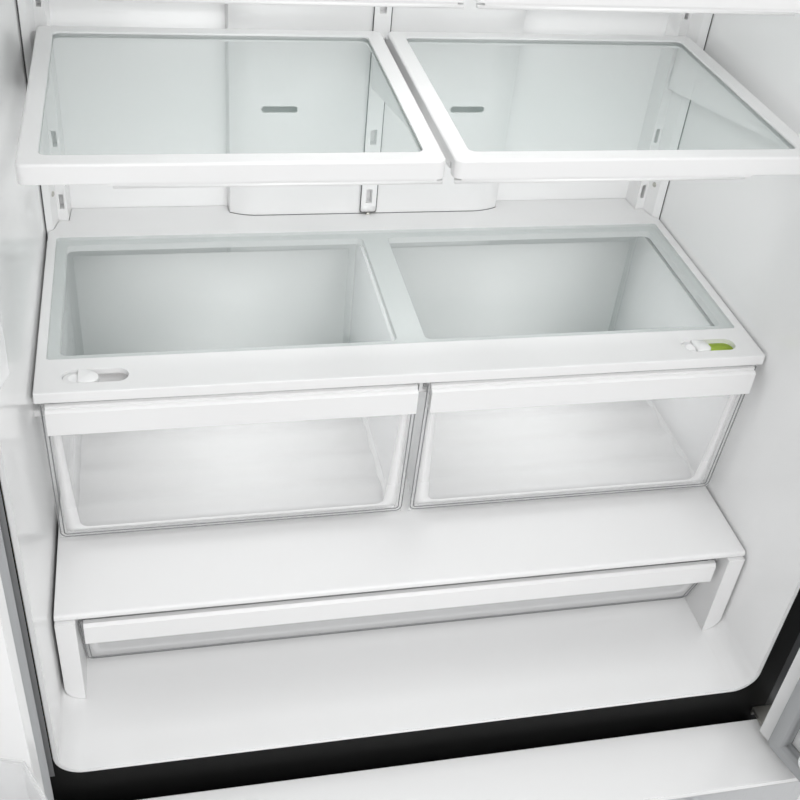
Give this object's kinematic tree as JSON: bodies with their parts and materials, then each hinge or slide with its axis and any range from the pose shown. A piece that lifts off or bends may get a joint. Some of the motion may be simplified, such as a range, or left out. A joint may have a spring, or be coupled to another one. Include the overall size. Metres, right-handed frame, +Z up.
{
  "type": "counter-depth refrigerator",
  "caption": "Two-door refrigerator over a freezer drawer, standing open, with glass shelves, clear crisper pans, a wide pantry pan and door bins.",
  "frame": {"origin": "under the middle of the bounding box of the object with both doors open, on the floor", "axes": "+X to the right seen from the front, +Y from the front to the back, +Z up"},
  "size_m": [1.3058, 1.097, 1.778],
  "materials": {
    "cabinet_paint": "satin dark grey paint",
    "flange_paint": "satin black",
    "liner_white": "moulded glossy white liner",
    "trim_white": "satin white moulding",
    "rail_white": "white powder coat",
    "clear_plastic": "clear moulded plastic",
    "shelf_pane": "tempered glass",
    "foam": "rigid foam",
    "steel_skin": "brushed steel",
    "handle_steel": "brushed steel bar",
    "seal_grey": "soft grey magnetic seal",
    "galvanised": "galvanised sheet",
    "dark_plastic": "dark grained plastic",
    "compressor_black": "gloss black paint",
    "coil_aluminium": "bare aluminium",
    "zinc_steel": "zinc plated steel",
    "slider_white": "glossy white",
    "roller_grey": "hard grey plastic"
  },
  "bodies": {
    "cabinet": {"cabinet_wrapper": "cabinet_paint", "front_frame": "flange_paint", "back_panel": "galvanised", "cabinet_foam": "foam", "fresh_food_liner": "liner_white", "freezer_liner": "liner_white", "base_pan": "galvanised", "rear_cover": "galvanised", "toe_grille": "dark_plastic", "compressor": "compressor_black", "condenser": "coil_aluminium", "air_tower": "trim_white", "shelf_rails": "rail_white", "crisper_cover": "trim_white", "crisper_cover_glass": "shelf_pane", "pantry_cover": "trim_white", "pantry_supports": "trim_white", "control_housing": "trim_white", "evaporator_cover": "trim_white", "evaporator": "coil_aluminium", "hinge_brackets": "zinc_steel", "hinge_covers": "dark_plastic", "slide_rails_outer": "zinc_steel", "shelf_frames": "trim_white", "shelf_glass": "shelf_pane", "shelf_brackets": "rail_white"},
    "left_door": {"left_door_skin": "steel_skin", "left_door_foam": "foam", "left_door_liner": "liner_white", "left_door_gasket": "seal_grey", "left_door_handle": "handle_steel", "left_door_bins": "clear_plastic"},
    "right_door": {"right_door_skin": "steel_skin", "right_door_foam": "foam", "right_door_liner": "liner_white", "right_door_gasket": "seal_grey", "right_door_handle": "handle_steel", "right_door_bins": "clear_plastic"},
    "centre_flap": {"mullion_flap": "liner_white"},
    "freezer_drawer": {"drawer_skin": "steel_skin", "drawer_foam": "foam", "drawer_liner": "liner_white", "drawer_gasket": "seal_grey", "drawer_handle": "handle_steel", "lower_basket": "trim_white", "slide_rails_inner": "zinc_steel"},
    "slide_middle": {"slide_rails_middle": "zinc_steel"},
    "freezer_tray": {"upper_basket": "trim_white"},
    "left_crisper": {"left_crisper_pan": "clear_plastic", "left_crisper_bar": "trim_white"},
    "right_crisper": {"right_crisper_pan": "clear_plastic", "right_crisper_bar": "trim_white"},
    "pantry_drawer": {"deli_pan": "clear_plastic", "deli_bar": "trim_white"},
    "left_slider": {"left_humidity_slider": "slider_white"},
    "right_slider": {"right_humidity_slider": "slider_white"},
    "fan_low": {"condenser_fan": "dark_plastic"},
    "fan_freezer": {"evaporator_fan": "dark_plastic"},
    "rollers": {"rear_rollers": "roller_grey"},
    "legs": {"levelling_legs": "zinc_steel"}
  },
  "joints": [
    {"name": "left_door_hinge", "type": "hinge", "parent": "cabinet", "child": "left_door", "pos_m": [-0.439, -0.11847, 0.7], "axis": [0, 0, -1], "range_deg": [-106, 24]},
    {"name": "right_door_hinge", "type": "hinge", "parent": "cabinet", "child": "right_door", "pos_m": [0.439, -0.11847, 0.7], "axis": [0, 0, 1], "range_deg": [-106, 24]},
    {"name": "flap_hinge", "type": "hinge", "parent": "left_door", "child": "centre_flap", "pos_m": [-0.50243, -0.52108, 0.765], "axis": [0, 0, -1], "range_deg": [0, 90]},
    {"name": "freezer_drawer_slide", "type": "slide", "parent": "cabinet", "child": "freezer_drawer", "axis": [0, -1, 0], "range_m": [0, 0.4]},
    {"name": "slide_middle_slide", "type": "slide", "parent": "cabinet", "child": "slide_middle", "axis": [0, -1, 0], "range_m": [0, 0.2]},
    {"name": "freezer_tray_slide", "type": "slide", "parent": "cabinet", "child": "freezer_tray", "axis": [0, -1, 0], "range_m": [0, 0.3]},
    {"name": "left_crisper_slide", "type": "slide", "parent": "cabinet", "child": "left_crisper", "axis": [0, -1, 0], "range_m": [0, 0.3]},
    {"name": "right_crisper_slide", "type": "slide", "parent": "cabinet", "child": "right_crisper", "axis": [0, -1, 0], "range_m": [0, 0.3]},
    {"name": "pantry_slide", "type": "slide", "parent": "cabinet", "child": "pantry_drawer", "axis": [0, -1, 0], "range_m": [0, 0.3]},
    {"name": "left_humidity_slide", "type": "slide", "parent": "cabinet", "child": "left_slider", "axis": [1, 0, 0], "range_m": [0, 0.028]},
    {"name": "right_humidity_slide", "type": "slide", "parent": "cabinet", "child": "right_slider", "axis": [1, 0, 0], "range_m": [0, 0.028]},
    {"name": "condenser_fan_spin", "type": "hinge", "parent": "cabinet", "child": "fan_low", "pos_m": [-0.11, 0.41803, 0.1348], "axis": [-1, 0, 0], "continuous": true},
    {"name": "freezer_fan_spin", "type": "hinge", "parent": "cabinet", "child": "fan_freezer", "pos_m": [0, 0.41653, 0.58], "axis": [0, -1, 0], "continuous": true},
    {"name": "roller_spin", "type": "hinge", "parent": "cabinet", "child": "rollers", "pos_m": [0, 0.48353, 0.022], "axis": [1, 0, 0], "continuous": true},
    {"name": "leg_screw", "type": "slide", "parent": "cabinet", "child": "legs", "axis": [0, 0, -1], "range_m": [0, 0.015]}
  ],
  "couplings": [
    {"joint": "slide_middle_slide", "follows": "freezer_drawer_slide", "ratio": 0.5},
    {"joint": "freezer_tray_slide", "follows": "freezer_drawer_slide", "ratio": 0.75}
  ]
}
